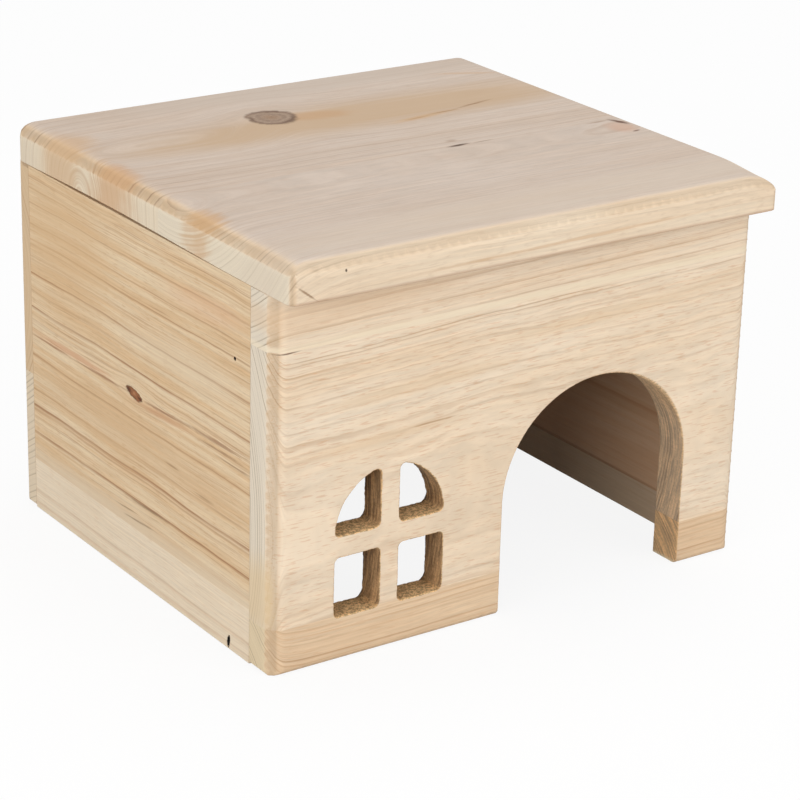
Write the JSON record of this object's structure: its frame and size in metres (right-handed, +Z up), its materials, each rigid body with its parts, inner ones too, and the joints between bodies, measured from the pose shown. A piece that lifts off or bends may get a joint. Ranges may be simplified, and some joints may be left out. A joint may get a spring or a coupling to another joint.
{
  "type": "wooden hamster house",
  "caption": "Small floorless wooden house for a hamster, with an arched doorway, a four-pane window and a flat roof that overhangs the front.",
  "frame": {"origin": "on the ground, under the middle of the house's overall box", "axes": "+Z up; the front with the doorway faces -Y; +X is to the right of someone facing the front from outside"},
  "size_m": [0.15, 0.14, 0.11],
  "materials": {
    "roof_wood": "planed, unfinished softwood",
    "front_wood": "planed, unfinished softwood",
    "side_wood": "planed, unfinished softwood",
    "back_wood": "planed, unfinished softwood"
  },
  "bodies": {
    "root": {"roof_front_stave": "roof_wood", "roof_back_stave": "roof_wood", "front_upper_stave": "front_wood", "front_middle_stave": "front_wood", "front_lower_left_stave": "front_wood", "front_lower_right_stave": "front_wood", "left_side_upper_stave": "side_wood", "left_side_lower_stave": "side_wood", "right_side_upper_stave": "side_wood", "right_side_lower_stave": "side_wood", "back_upper_stave": "back_wood", "back_lower_stave": "back_wood"}
  },
  "joints": []
}
